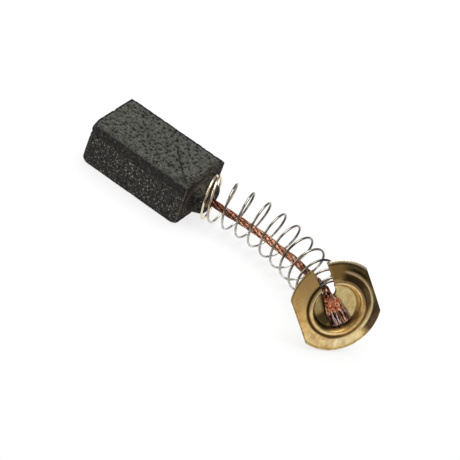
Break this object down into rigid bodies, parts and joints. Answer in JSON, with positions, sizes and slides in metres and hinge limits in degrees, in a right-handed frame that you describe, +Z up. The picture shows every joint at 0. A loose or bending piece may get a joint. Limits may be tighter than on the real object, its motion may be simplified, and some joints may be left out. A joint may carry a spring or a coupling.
{
  "type": "carbon brush",
  "caption": "Motor brush: keyed rectangular carbon block with a boss, a loose coil spring, a laid copper lead and a slotted stamped brass terminal disc.",
  "frame": {"origin": "centre of the carbon block's contact face", "axes": "+X along the block from the contact face to the spring and the terminal, +Z up out of the wide face that is uppermost as the brush lies"},
  "size_m": [0.0518, 0.0168, 0.0133],
  "materials": {
    "carbon": "pressed carbon, matt and finely pitted",
    "tamping_powder": "rammed copper powder, matt",
    "spring_steel": "bright drawn wire",
    "brass_sheet": "stamped, slightly stained",
    "copper": "bare copper wire"
  },
  "bodies": {
    "brush": {"carbon_block": "carbon", "tamping_plug": "tamping_powder", "compression_spring": "spring_steel", "lead_strand_1": "copper", "lead_strand_2": "copper", "lead_strand_3": "copper", "lead_strand_4": "copper", "lead_strand_5": "copper", "lead_strand_6": "copper", "lead_strand_7": "copper"},
    "terminal": {"terminal_plate": "brass_sheet", "lead_weld": "copper"}
  },
  "joints": [
    {"name": "spring_compression", "type": "slide", "parent": "brush", "child": "terminal", "axis": [1, 0, 0], "range_m": [-0.012, 0], "stiffness_N_per_m": 50, "deforming": ["compression_spring", "lead_strand_1", "lead_strand_2", "lead_strand_3", "lead_strand_4", "lead_strand_5", "lead_strand_6", "lead_strand_7"]}
  ]
}
